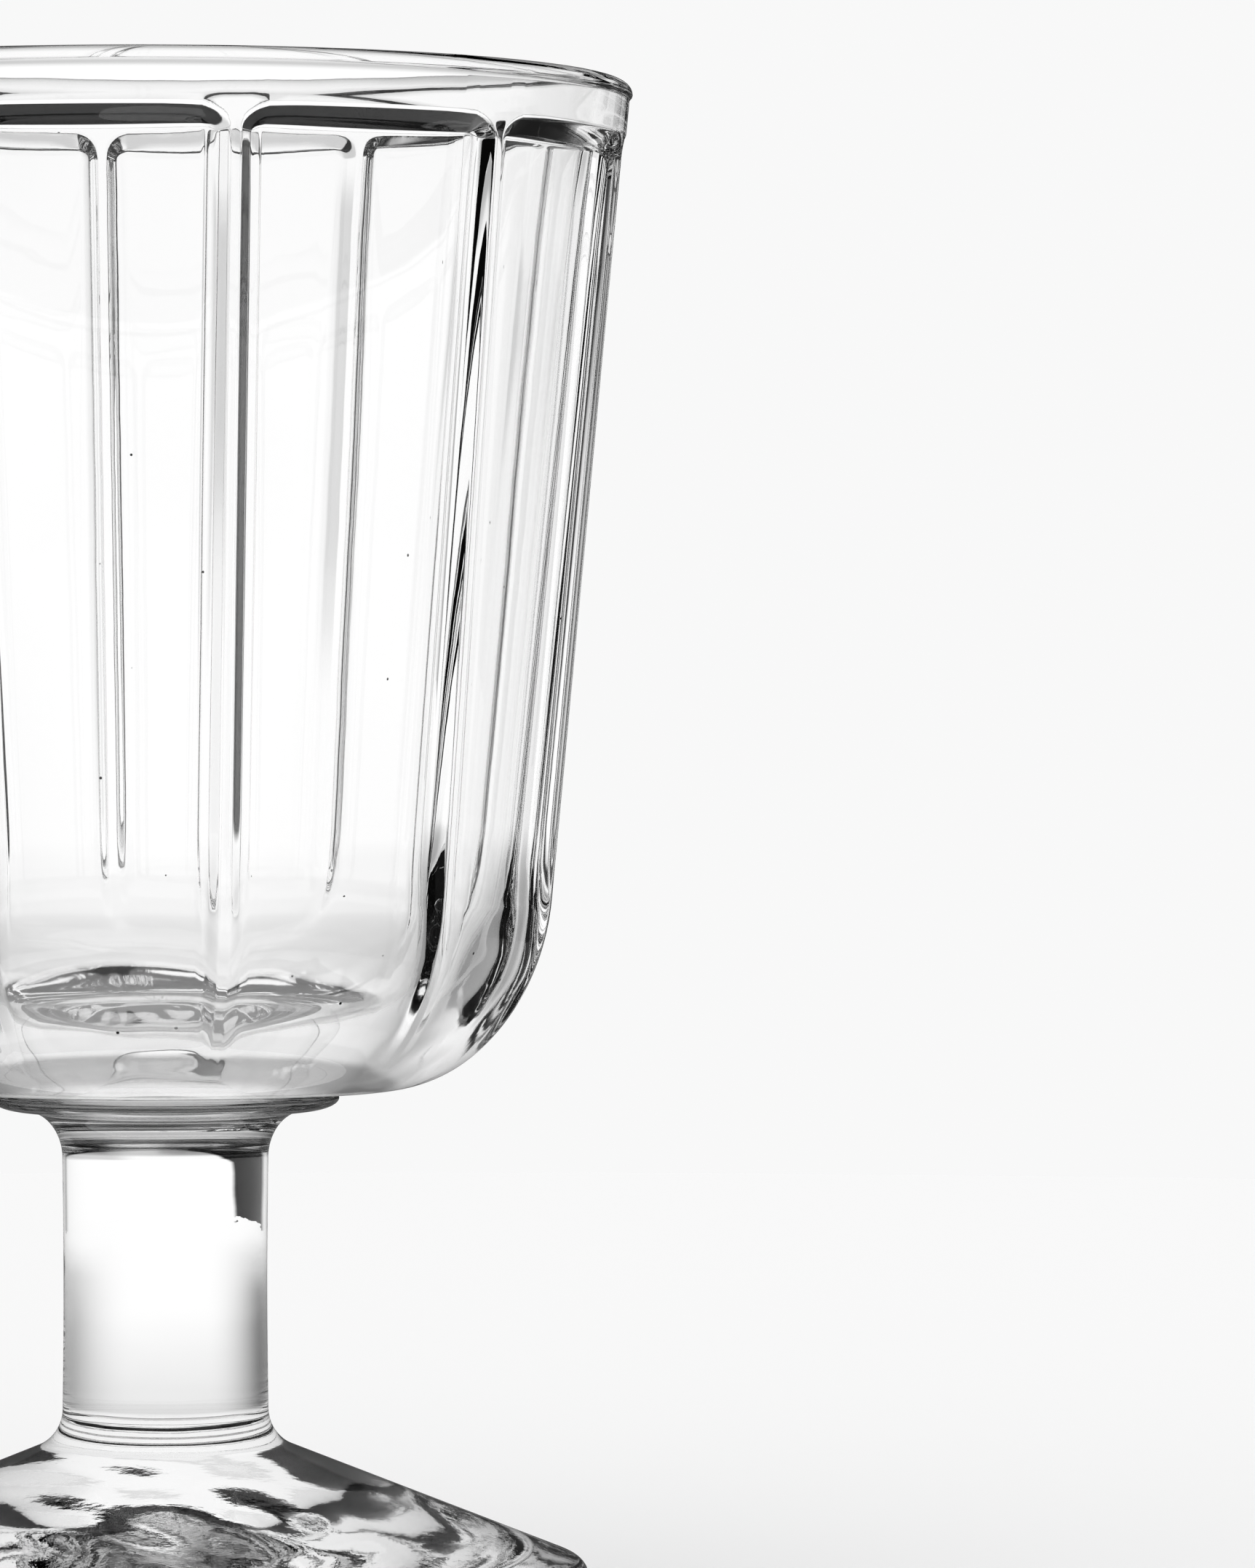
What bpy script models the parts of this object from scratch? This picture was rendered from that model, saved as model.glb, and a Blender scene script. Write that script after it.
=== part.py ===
"""Clear pressed-glass wine goblet, standing on its foot, with the origin on the table under its axis."""

import math

import bmesh
import bpy

# Driving dimensions, in metres
HEIGHT = 0.1430
WELD_GAP = 0.0003

# Bowl, outside
BOWL_BOTTOM = 0.0480
SIDE_BOTTOM = 0.0660
SIDE_BOTTOM_RADIUS = 0.0367
SIDE_TAPER = 0.0945
BEAD_RISE = 0.00025
BEAD_START = 0.1411
CORNER_REACH = 0.0143
LIP_RADIUS = 0.00125
WELD_RADIUS = 0.0110
WELD_HEIGHT = 0.0490

# Flutes pressed into the bowl
FLUTE_COUNT = 10
RIB_RISE = 0.0017
RIB_CREST = 0.0005
BORDER_SLOPE = 1.2
RAMP_RISE = 0.0009
RAMP_SLOPE = 0.40
PANEL_FLATNESS = 0.15
ARCH_TOP = 0.1378
ARCH_CORNER_WIDTH = 0.0049
ARCH_CORNER_DROP = 0.00175
SHOULDER_ROUNDING = 0.0003
FADE_TOP = 0.0575
FADE_BOTTOM = 0.0490

# Bowl, inside
FLOOR_HEIGHT = 0.0512
INSIDE_CORNER_TOP = 0.0655
INSIDE_CORNER_RADIUS = 0.0318
INSIDE_TAPER = 0.1066
INSIDE_FLARE = 0.0010
INSIDE_FLARE_START = 0.1385
INSIDE_CORNER_REACH = 0.0170

# Collar under the bowl
COLLAR_RADIUS = 0.0164
COLLAR_EDGE_HEIGHT = 0.0472
COLLAR_CROWN_RADIUS = 0.0060
COLLAR_BOTTOM = 0.0460

# Stem
STEM_RADIUS = 0.0097
STEM_WAIST = 0.0001
STEM_FLARE_RADIUS = 0.0133
STEM_FLARE_START = 0.0415

# Foot
FOOT_TOP = 0.0179
FOOT_RADIUS = 0.0400
FOOT_EDGE_RADIUS = 0.00185
FOOT_SLOPE = math.radians(21.9)
FOOT_FILLET = 0.0039
RESTING_RING_INNER = 0.0330
FOOT_HOLLOW = 0.0022

# Fineness of the meshes
TURNED_SIDES = 64
BEAD_ROWS = 4
SIDE_ROWS = 6
CORNER_ROWS = 11
LIP_ROWS = 8
FLARE_ROWS = 3
INSIDE_ROWS = 6
ARC_STEPS = 8
SMOOTH_ANGLE = math.radians(40)

# Finish
GLASS_COLOUR = (0.97, 0.98, 0.98, 1.0)
GLASS_ROUGHNESS = 0.02
GLASS_INDEX = 1.52

FLUTE_ANGLE = 2 * math.pi / FLUTE_COUNT
HALF_FLUTE = FLUTE_ANGLE / 2
LIP_HEIGHT = HEIGHT - LIP_RADIUS


def clear_scene():
    """Remove every object, so that only the goblet is left."""
    for obj in list(bpy.data.objects):
        bpy.data.objects.remove(obj, do_unlink=True)


def glass_material(name):
    """Clear colourless glass."""
    material = bpy.data.materials.new(name)
    material.use_nodes = True
    shader = material.node_tree.nodes["Principled BSDF"]
    shader.inputs["Base Color"].default_value = GLASS_COLOUR
    shader.inputs["Roughness"].default_value = GLASS_ROUGHNESS
    shader.inputs["Metallic"].default_value = 0.0
    shader.inputs["IOR"].default_value = GLASS_INDEX
    shader.inputs["Transmission Weight"].default_value = 1.0
    return material


def add_piece(name, mesh):
    """Put a mesh in the scene as a sub-part with its own glass."""
    piece = bpy.data.objects.new(name, mesh)
    bpy.context.collection.objects.link(piece)
    mesh.materials.append(glass_material(name + "_glass"))
    return piece


def blend(amount):
    """Smooth step from 0 to 1."""
    amount = min(max(amount, 0.0), 1.0)
    return amount * amount * (3 - 2 * amount)


def spread(first, last, count):
    """Evenly spaced values from first to last, both included."""
    return [first + (last - first) * step / (count - 1) for step in range(count)]


def arc(centre_r, centre_z, radius_r, radius_z, start, end):
    """Points (r, z) on an elliptical arc between two angles measured from +r."""
    return [
        (centre_r + radius_r * math.cos(angle), centre_z + radius_z * math.sin(angle))
        for angle in spread(start, end, ARC_STEPS + 1)
    ]


def turned_piece(name, outline):
    """Turn an outline (r, z), listed from top to bottom, round the Z axis."""
    mesh = bpy.data.meshes.new(name)
    edges = [(index, index + 1) for index in range(len(outline) - 1)]
    mesh.from_pydata([(r, 0.0, z) for r, z in outline], edges, [])
    piece = add_piece(name, mesh)
    screw = piece.modifiers.new("turn", "SCREW")
    screw.axis = "Z"
    screw.angle = 2 * math.pi
    screw.steps = TURNED_SIDES
    screw.render_steps = TURNED_SIDES
    screw.use_merge_vertices = True
    screw.merge_threshold = 0.00001
    screw.use_smooth_shade = True
    return piece


def side_radius(z):
    """Radius of the bowl's plain cone, with the slight bead at the lip."""
    bead = blend((z - BEAD_START) / (LIP_HEIGHT - BEAD_START))
    return SIDE_BOTTOM_RADIUS + SIDE_TAPER * (z - SIDE_BOTTOM) + BEAD_RISE * bead


def crest_point(turn):
    """Rounded bottom corner of the bowl: turn runs from 0 at the side to a right angle underneath."""
    z = SIDE_BOTTOM - (SIDE_BOTTOM - BOWL_BOTTOM) * math.sin(turn)
    return side_radius(z) - CORNER_REACH * (1 - math.cos(turn)), z


def beside_crest(radius, from_rib):
    """Distance from the edge of the rib's flat crest, at an angle from the rib."""
    return max(radius * from_rib - RIB_CREST, 0.0)


def panel_depth(radius, from_rib):
    """How far the panel lies inside the crest: a steep flank beside the rib, a gentle ramp, then the panel."""
    from_crest = beside_crest(radius, from_rib)
    sag = radius * (1 - math.cos(HALF_FLUTE) / math.cos(HALF_FLUTE - from_rib))
    flank = BORDER_SLOPE * from_crest
    ramp = RAMP_RISE + RAMP_SLOPE * from_crest
    return min(flank, ramp, RIB_RISE + PANEL_FLATNESS * sag)


def arch_line(from_rib):
    """Height of the flute's upper edge: level over the panel, dropping in a round corner to each rib."""
    from_crest = beside_crest(side_radius(ARCH_TOP), from_rib)
    reach = max(1 - from_crest / ARCH_CORNER_WIDTH, 0.0)
    return ARCH_TOP - ARCH_CORNER_DROP * (1 - math.sqrt(1 - reach * reach))


def flute_columns():
    """Angles round the bowl, with how far each lies from its nearest rib."""
    flank_end = RIB_CREST + RAMP_RISE / (BORDER_SLOPE - RAMP_SLOPE)
    ramp_end = RIB_CREST + (RIB_RISE - RAMP_RISE) / RAMP_SLOPE
    corner_end = RIB_CREST + ARCH_CORNER_WIDTH
    radius = side_radius((ARCH_TOP + SIDE_BOTTOM) / 2)
    half = [distance / radius for distance in (0.0, RIB_CREST, flank_end, ramp_end, corner_end)]
    half += [(half[-1] + HALF_FLUTE) / 2, HALF_FLUTE]
    offsets = half + [FLUTE_ANGLE - angle for angle in reversed(half[1:-1])]
    columns = []
    for flute in range(FLUTE_COUNT):
        for offset in offsets:
            columns.append((flute * FLUTE_ANGLE + offset, min(offset, FLUTE_ANGLE - offset)))
    return columns


def outside_line(from_rib):
    """Outside of the bowl at one angle, from under the lip to the edge of the weld in its domed underside."""
    arch = arch_line(from_rib)
    shoulder = panel_depth(side_radius(ARCH_TOP), from_rib) / BORDER_SLOPE
    points = [(side_radius(z), z) for z in spread(LIP_HEIGHT, BEAD_START, BEAD_ROWS)]
    points.append((side_radius(arch), arch))
    for z in spread(arch - shoulder - SHOULDER_ROUNDING, SIDE_BOTTOM, SIDE_ROWS):
        radius = side_radius(z)
        points.append((radius - panel_depth(radius, from_rib), z))
    for turn in spread(0.0, math.pi / 2, CORNER_ROWS)[1:]:
        radius, z = crest_point(turn)
        kept = blend((z - FADE_BOTTOM) / (FADE_TOP - FADE_BOTTOM))
        points.append((radius - kept * panel_depth(radius, from_rib), z))
    points.append((WELD_RADIUS, WELD_HEIGHT))
    return points


def inside_radius(z):
    """Radius of the bowl's plain round inside above the floor corner."""
    flare = max(z - INSIDE_FLARE_START, 0.0) / (LIP_HEIGHT - INSIDE_FLARE_START)
    return INSIDE_CORNER_RADIUS + INSIDE_TAPER * (z - INSIDE_CORNER_TOP) + INSIDE_FLARE * flare * flare


def inside_line():
    """Lip and inside of the bowl, from the lip's outer edge down to the edge of the flat floor."""
    lip_outer = side_radius(LIP_HEIGHT)
    lip_inner = inside_radius(LIP_HEIGHT)
    lip_centre = (lip_outer + lip_inner) / 2
    lip_half = (lip_outer - lip_inner) / 2
    points = []
    for angle in spread(0.0, math.pi, LIP_ROWS + 1)[1:]:
        points.append((lip_centre + lip_half * math.cos(angle), LIP_HEIGHT + LIP_RADIUS * math.sin(angle)))
    for z in spread(LIP_HEIGHT, INSIDE_FLARE_START, FLARE_ROWS)[1:]:
        points.append((inside_radius(z), z))
    for z in spread(INSIDE_FLARE_START, INSIDE_CORNER_TOP, INSIDE_ROWS)[1:]:
        points.append((inside_radius(z), z))
    for turn in spread(0.0, math.pi / 2, CORNER_ROWS)[1:]:
        z = INSIDE_CORNER_TOP - (INSIDE_CORNER_TOP - FLOOR_HEIGHT) * math.sin(turn)
        points.append((inside_radius(z) - INSIDE_CORNER_REACH * (1 - math.cos(turn)), z))
    return points


def make_bowl():
    """Fluted outside and round inside, joined over the lip and closed by the underside and the floor."""
    shape = bmesh.new()
    inside = inside_line()
    lines = []
    for angle, from_rib in flute_columns():
        profile = list(reversed(outside_line(from_rib))) + inside
        direction = (math.cos(angle), math.sin(angle))
        lines.append([shape.verts.new((r * direction[0], r * direction[1], z)) for r, z in profile])
    underside = shape.verts.new((0.0, 0.0, WELD_HEIGHT))
    floor = shape.verts.new((0.0, 0.0, FLOOR_HEIGHT))
    for index, line in enumerate(lines):
        following = lines[(index + 1) % len(lines)]
        shape.faces.new((underside, following[0], line[0]))
        for row in range(len(line) - 1):
            shape.faces.new((line[row], following[row], following[row + 1], line[row + 1]))
        shape.faces.new((floor, line[-1], following[-1]))
    bmesh.ops.triangulate(shape, faces=shape.faces)
    mesh = bpy.data.meshes.new("bowl")
    shape.to_mesh(mesh)
    shape.free()
    mesh.shade_smooth()
    mesh.set_sharp_from_angle(angle=SMOOTH_ANGLE)
    add_piece("bowl", mesh)


def make_collar():
    """Lens-shaped disc between bowl and stem, flat where it is welded and drawn out to a thin edge."""
    top = WELD_HEIGHT - WELD_GAP
    upper_width = COLLAR_RADIUS - COLLAR_CROWN_RADIUS
    weld_turn = math.acos((WELD_RADIUS - COLLAR_CROWN_RADIUS) / upper_width)
    upper_height = (top - COLLAR_EDGE_HEIGHT) / math.sin(weld_turn)
    upper = arc(COLLAR_CROWN_RADIUS, COLLAR_EDGE_HEIGHT, upper_width, upper_height, weld_turn, 0.0)
    lower_width = COLLAR_RADIUS - STEM_FLARE_RADIUS
    lower_height = COLLAR_EDGE_HEIGHT - COLLAR_BOTTOM
    lower = arc(STEM_FLARE_RADIUS, COLLAR_EDGE_HEIGHT, lower_width, lower_height, 0.0, -math.pi / 2)
    turned_piece("collar", [(0.0, top)] + upper + lower[1:] + [(0.0, COLLAR_BOTTOM)])


def make_stem():
    """Round rod with a hair's waist, sweeping out at the top in a hollow curve to meet the collar."""
    top = COLLAR_BOTTOM - WELD_GAP
    bottom = FOOT_TOP + WELD_GAP
    sweep_width = STEM_RADIUS - STEM_FLARE_RADIUS
    sweep_height = top - STEM_FLARE_START
    outline = [(0.0, top)]
    outline += arc(STEM_FLARE_RADIUS, STEM_FLARE_START, sweep_width, sweep_height, math.pi / 2, 0.0)
    for along in spread(0.0, 1.0, ARC_STEPS + 1)[1:]:
        waist = STEM_WAIST * math.sin(math.pi * along)
        outline.append((STEM_RADIUS - waist, STEM_FLARE_START + (bottom - STEM_FLARE_START) * along))
    turned_piece("stem", outline + [(0.0, bottom)])


def make_foot():
    """Spreading cone with a hollow fillet to the stem, a round edge, a flat ring and a shallow hollow."""
    fillet_end = math.pi + math.pi / 2 - FOOT_SLOPE
    fillet = arc(STEM_RADIUS + FOOT_FILLET, FOOT_TOP, FOOT_FILLET, FOOT_FILLET, math.pi, fillet_end)
    edge_centre = FOOT_RADIUS - FOOT_EDGE_RADIUS
    edge_start = math.pi / 2 - FOOT_SLOPE
    edge = arc(edge_centre, FOOT_EDGE_RADIUS, FOOT_EDGE_RADIUS, FOOT_EDGE_RADIUS, edge_start, -math.pi / 2)
    hollow = arc(0.0, 0.0, RESTING_RING_INNER, FOOT_HOLLOW, 0.0, math.pi / 2)
    turned_piece("foot", [(0.0, FOOT_TOP)] + fillet + edge + hollow)


clear_scene()
make_bowl()
make_collar()
make_stem()
make_foot()
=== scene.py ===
# %% [markdown]
# # A pressed-glass goblet
# This lesson dresses a goblet of clear, colourless glass. The imported model is the frame: the pieces take
# their main heights from it, and the widths of collar and foot. The fine surface of each piece is made
# here and hung on that frame. The frame is loaded first, and its box is kept and its size printed.

# %% Load the frame
import math
from collections import namedtuple

import bpy
import numpy as np
from mathutils import Matrix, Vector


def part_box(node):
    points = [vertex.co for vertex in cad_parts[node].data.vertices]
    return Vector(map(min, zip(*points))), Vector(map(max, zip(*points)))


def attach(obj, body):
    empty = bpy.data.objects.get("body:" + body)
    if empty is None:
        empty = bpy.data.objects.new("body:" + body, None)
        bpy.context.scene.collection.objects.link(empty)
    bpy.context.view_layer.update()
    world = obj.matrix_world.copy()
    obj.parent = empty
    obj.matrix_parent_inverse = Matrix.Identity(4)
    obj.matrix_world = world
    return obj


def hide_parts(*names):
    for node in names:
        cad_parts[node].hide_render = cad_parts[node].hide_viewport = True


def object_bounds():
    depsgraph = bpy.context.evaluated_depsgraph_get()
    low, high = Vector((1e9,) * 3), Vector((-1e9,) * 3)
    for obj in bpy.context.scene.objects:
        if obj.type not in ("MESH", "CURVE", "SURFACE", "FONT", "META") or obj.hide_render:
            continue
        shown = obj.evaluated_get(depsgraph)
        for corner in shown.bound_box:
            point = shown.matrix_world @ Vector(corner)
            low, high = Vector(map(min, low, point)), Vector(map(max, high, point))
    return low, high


MILLIMETRES = 1000

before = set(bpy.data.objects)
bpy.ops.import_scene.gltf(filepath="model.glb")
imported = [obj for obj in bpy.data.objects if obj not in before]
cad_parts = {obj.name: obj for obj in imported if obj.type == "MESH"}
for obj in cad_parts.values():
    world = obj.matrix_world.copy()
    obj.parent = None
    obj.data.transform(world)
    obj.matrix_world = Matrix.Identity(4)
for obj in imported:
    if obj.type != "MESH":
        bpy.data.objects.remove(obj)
cad_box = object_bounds()
frame_size = [float(high - low) * MILLIMETRES for low, high in zip(*cad_box)]
print(len(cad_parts), "nodes in a frame of", " x ".join(f"{length:.1f}" for length in frame_size), "mm")

# %% [markdown]
# ## The camera
# In the photograph the rim is a flat ellipse and the glass stands left of the picture's centre. A long
# lens about three quarters of a metre away gives about the same ellipse. That distance is judged, not
# measured. The camera is turned to bring the glass to its place in the picture, because a lens shift
# would follow the camera into every other view. It stands a little round from the -Y axis, so that a rib
# shows right of the glass's middle as it does in the photograph.

# %% Camera
IMAGE_WIDTH = 1725
IMAGE_HEIGHT = 2156
AXIS_PIXEL = 227
HORIZON_PIXEL = 950
TABLE_PIXEL = 2195
METRES_PER_PIXEL = 0.00006875
CAMERA_DISTANCE = 0.733
SENSOR_SIZE = 36.0
CLIP_START = 0.05
CLIP_END = 40.0
VIEW_TURN = math.radians(9.6)

focal_pixels = CAMERA_DISTANCE / METRES_PER_PIXEL
camera_height = (TABLE_PIXEL - HORIZON_PIXEL) * METRES_PER_PIXEL
turn_right = math.atan((IMAGE_WIDTH / 2 - AXIS_PIXEL) / focal_pixels)
tip_down = math.atan((IMAGE_HEIGHT / 2 - HORIZON_PIXEL) / focal_pixels)

lens = bpy.data.cameras.new("camera")
lens.sensor_width = SENSOR_SIZE
lens.lens = focal_pixels * SENSOR_SIZE / IMAGE_HEIGHT
lens.clip_start = CLIP_START
lens.clip_end = CLIP_END
camera = bpy.data.objects.new("camera", lens)
bpy.context.collection.objects.link(camera)
place = Matrix.Translation((0.0, -CAMERA_DISTANCE, camera_height))
aim = Matrix.Rotation(-turn_right, 4, "Z") @ Matrix.Rotation(math.pi / 2 - tip_down, 4, "X")
camera.matrix_world = Matrix.Rotation(VIEW_TURN, 4, "Z") @ place @ aim
bpy.context.scene.camera = camera
print(f"camera {CAMERA_DISTANCE} m away and {camera_height:.4f} m up, with a {lens.lens:.0f} mm lens")

# %% [markdown]
# ## The welds
# Where two pieces are welded, real glass has no surface at all: light goes straight on. So the faces
# there get a second material with an Alpha of 0, and the closed bodies act as one piece of glass. The
# weld between bowl and collar gets a nearly black sheet of painted shade instead, which keeps some Alpha
# and draws the dark lens under the bowl.

# %% Weld materials
# Painted shade: a nearly black sheet on the weld under the bowl, for the dark lens there.
WELD_SHADE_COLOUR = (0.02, 0.02, 0.02, 1.0)
WELD_SHADE_ALPHA = 0.45

clear_weld = bpy.data.materials.new("weld")
clear_weld.use_nodes = True
clear_weld.node_tree.nodes["Principled BSDF"].inputs["Alpha"].default_value = 0.0

painted_shade_weld = bpy.data.materials.new("weld_painted_shade")
painted_shade_weld.use_nodes = True
painted_shade_shader = painted_shade_weld.node_tree.nodes["Principled BSDF"]
painted_shade_shader.inputs["Base Color"].default_value = WELD_SHADE_COLOUR
painted_shade_shader.inputs["Specular IOR Level"].default_value = 0.0
painted_shade_shader.inputs["Roughness"].default_value = 1.0
painted_shade_shader.inputs["Alpha"].default_value = WELD_SHADE_ALPHA
print("welds:", clear_weld.name, "and", painted_shade_weld.name)

# %% [markdown]
# ## One body from a stack of rings
# Every piece of the goblet is round, so each is built as a stack of rings. A ring has one point per
# column. The rings start at the middle of the underside, run out and up the outside, and end at the
# middle of the top, or of the floor inside the bowl. Quads join neighbouring rings, and a fan of
# triangles closes each end, so the body is watertight and its faces point outwards. A Screw modifier
# could turn the plain pieces, but not the fluted bowl, and one helper for all of them keeps the welds
# between the pieces exact.

# %% Rings into a closed body
WELD_REACH = 0.000001
WELD_SLOT = 1
SMOOTH_ANGLE = math.radians(50)


def closed_body(name, rings, welds):
    """Join rings of points into one closed mesh. welds lists the (height, radius) of its contact faces."""
    ring_count, columns, _ = rings.shape
    index = np.arange(ring_count * columns).reshape(ring_count, columns)
    beside = np.roll(index, -1, axis=1)
    quads = np.stack([index[:-1], beside[:-1], beside[1:], index[1:]], axis=-1).reshape(-1, 4)
    first = ring_count * columns
    last = first + 1
    fans = [(first, b, a) for a, b in zip(index[0], beside[0])]
    fans += [(last, a, b) for a, b in zip(index[-1], beside[-1])]
    centres = [(0.0, 0.0, rings[0, :, 2].mean()), (0.0, 0.0, rings[-1, :, 2].mean())]
    mesh = bpy.data.meshes.new(name)
    mesh.from_pydata(rings.reshape(-1, 3).tolist() + centres, [], quads.tolist() + fans)
    middles = np.empty(len(mesh.polygons) * 3, np.float32)
    mesh.polygons.foreach_get("center", middles)
    middles = middles.reshape(-1, 3)
    out = np.hypot(middles[:, 0], middles[:, 1])
    slots = np.zeros(len(mesh.polygons), np.int32)
    for height, radius in welds:
        slots[(np.abs(middles[:, 2] - height) < WELD_REACH) & (out < radius)] = WELD_SLOT
    mesh.polygons.foreach_set("material_index", slots)
    mesh.shade_smooth()
    mesh.set_sharp_from_angle(angle=SMOOTH_ANGLE)
    piece = bpy.data.objects.new(name, mesh)
    bpy.context.collection.objects.link(piece)
    print(f"{name}: {len(mesh.polygons)} faces, {slots.sum()} of them on a weld")
    return piece


def around(radius, height, angles):
    """Rings of points from a radius and a height for each ring and column."""
    radius, height = np.broadcast_arrays(radius, height)
    radius = np.broadcast_to(radius, (len(radius), len(angles)))
    height = np.broadcast_to(height, radius.shape)
    return np.stack([radius * np.cos(angles), radius * np.sin(angles), height], axis=-1)


# %% [markdown]
# ## Unevenness
# Pressed glass is never quite true. The hot glass chills against the iron mould and is polished by fire,
# which leaves slow waves in every surface. A sum of a few slanting waves, drawn with a fixed seed, gives
# such a field at any point in space. Squeezing the points before the waves are read makes the waves
# shorter along an axis.

# %% Waves
WAVE_COUNT = 14


def waves(points, length, seed, squeeze=(1.0, 1.0, 1.0)):
    """Smooth unevenness, about -1 to 1, at each point. squeeze shortens the waves along x, y and z."""
    draw = np.random.default_rng(seed)
    ways = draw.normal(size=(WAVE_COUNT, 3))
    ways /= np.linalg.norm(ways, axis=1, keepdims=True)
    starts = draw.uniform(0, 2 * math.pi, WAVE_COUNT)
    phase = (points * np.array(squeeze)) @ ways.T * (2 * math.pi / length) + starts
    return np.sin(phase).sum(axis=-1) * math.sqrt(2 / WAVE_COUNT) / 2


def blend(amount):
    """Smooth step from 0 to 1."""
    amount = np.clip(amount, 0.0, 1.0)
    return amount * amount * (3 - 2 * amount)


def moved_out(rings, distance):
    """Move each point of the rings away from the axis by its own distance."""
    out = np.hypot(rings[..., 0], rings[..., 1])
    grown = rings.copy()
    grown[..., :2] *= ((out + distance) / np.maximum(out, WELD_REACH))[..., None]
    return grown


# %% [markdown]
# ## The bowl: its columns
# The bowl is a tall cup with ten flat panels pressed into its outside. Between two panels stands a narrow
# rib. The columns of the mesh crowd towards the ribs, where the surface turns fast, and spread out over
# the panels. A stretch of columns is given by where it starts, in metres from the middle of a rib, and by
# its number of columns.

# %% Columns of the bowl
FLUTE_COUNT = 10
HALF_FLUTE = math.pi / FLUTE_COUNT
MEAN_RADIUS = 0.0402
RIB_CREST = 0.0005
CREST_EDGE = 0.0002
FLANK_END = 0.0017
FLANK_EDGE = 0.0003
RAMP_END = 0.0026
RAMP_EDGE = 0.0002
COLUMN_STRETCHES = [
    (0.0, 2),
    (RIB_CREST - CREST_EDGE, 4),
    (RIB_CREST + CREST_EDGE, 3),
    (FLANK_END - FLANK_EDGE, 4),
    (FLANK_END + FLANK_EDGE, 2),
    (RAMP_END - RAMP_EDGE, 3),
    (RAMP_END + RAMP_EDGE, 6),
]

stretch_starts = [start / MEAN_RADIUS for start, _ in COLUMN_STRETCHES] + [HALF_FLUTE]
stretches = [
    np.linspace(stretch_starts[index], stretch_starts[index + 1], count, endpoint=False)
    for index, (_, count) in enumerate(COLUMN_STRETCHES)
]
half_flute = np.concatenate(stretches + [[HALF_FLUTE]])
one_flute = np.concatenate([half_flute, 2 * HALF_FLUTE - half_flute[-2:0:-1]])
column_angle = (np.arange(FLUTE_COUNT)[:, None] * 2 * HALF_FLUTE + one_flute).ravel()
from_rib = np.tile(np.minimum(one_flute, 2 * HALF_FLUTE - one_flute), FLUTE_COUNT)
print(f"bowl: {len(column_angle)} columns round {FLUTE_COUNT} flutes")

# %% [markdown]
# ## The bowl: its panels
# A panel is nearly flat and lies below the plain side of the bowl. From the crest of a rib the surface
# first drops steeply, then eases into a gentle ramp, and then runs into the panel. The top of the panel
# is an arch. Its shoulder drops nearly as steeply, and an ellipse rounds the corner between shoulder and
# rib. So the distance in from the border gives the depth of that slope, and the least of slope, ramp and
# panel is taken. At the bottom the panels fade out in two stages: the first takes most of the relief
# away, and the second leaves the underside round.

# %% Depth of the panels
RIB_RISE = 0.0017
RAMP_RISE = 0.0009
RAMP_SLOPE = 0.40
RAMP_ROUNDING = 0.00008
PANEL_FLATNESS = 0.15
BORDER_SLOPE = 1.2
ARCH_TOP = 0.1378
ARCH_EASE = 0.88
ARCH_CORNER_WIDTH = 0.0038
ARCH_CORNER_DROP = 0.0021
EDGE_ROUNDING = 0.0001
FOOT_ROUNDING = 0.00014
FADE_TOP = 0.0700
FADE_MIDDLE = 0.0585
FADE_BOTTOM = 0.0495
FADE_RELIEF = 0.30


def lesser(first, second, rounding):
    """The lesser of two depths, with the corner between them rounded."""
    return (first + second - np.hypot(first - second, rounding)) / 2


def fluted(crest, z):
    """Depth of the panels below the crest, at every column, from one crest radius and height per ring."""
    sag = crest * (1 - math.cos(HALF_FLUTE) / np.cos(HALF_FLUTE - from_rib))
    from_side = crest * from_rib - RIB_CREST
    from_arch = np.broadcast_to(ARCH_EASE * (ARCH_TOP - z), from_side.shape)
    side_left = np.maximum(1 - from_side / ARCH_CORNER_WIDTH, 0.0)
    arch_left = np.maximum(1 - from_arch / ARCH_CORNER_DROP, 0.0)
    ellipse = np.hypot(side_left, arch_left)
    steepness = np.hypot(side_left / ARCH_CORNER_WIDTH, arch_left / ARCH_CORNER_DROP)
    inside = np.minimum(from_side, from_arch)
    np.divide((1 - ellipse) * ellipse, steepness, out=inside, where=steepness > 0)
    slope_depth = BORDER_SLOPE * (inside + np.hypot(inside, EDGE_ROUNDING)) / 2
    ramp_depth = RAMP_RISE + RAMP_SLOPE * from_side
    panel_depth = RIB_RISE + PANEL_FLATNESS * sag
    depth = lesser(lesser(ramp_depth, panel_depth, RAMP_ROUNDING), slope_depth, FOOT_ROUNDING)
    low_relief = FADE_RELIEF * blend((z - FADE_BOTTOM) / (FADE_MIDDLE - FADE_BOTTOM))
    kept = low_relief + (1 - FADE_RELIEF) * blend((z - FADE_MIDDLE) / (FADE_TOP - FADE_MIDDLE))
    return kept * np.maximum(depth, 0.0)


# %% [markdown]
# ## The bowl: its outside
# The plain side is a steep cone with a slight bead at the lip, and it rolls in at the bottom. The depth
# of the panels is taken off it. The rings crowd at the bead and at the arches, where the surface turns
# fast.

# %% Outside of the bowl
SIDE_BOTTOM = 0.0660
SIDE_BOTTOM_RADIUS = 0.0367
SIDE_TAPER = 0.0945
BEAD_RISE = 0.00025
BEAD_START = 0.1412
BEAD_END = 0.1417
BEAD_MARGIN = 0.0002
CORNER_REACH = 0.0143
LIP_RADIUS = 0.00125
ARCH_MARGIN = 0.0003
SHOULDER_DEPTH = 0.0048
BEAD_ROWS = 10
BAND_ROWS = 6
SHOULDER_ROWS = 34
SIDE_ROWS = 20
CORNER_ROWS = 38

bowl_low, bowl_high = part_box("bowl")
bowl_bottom = float(bowl_low[2])
lip_height = float(bowl_high[2]) - LIP_RADIUS


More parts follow.
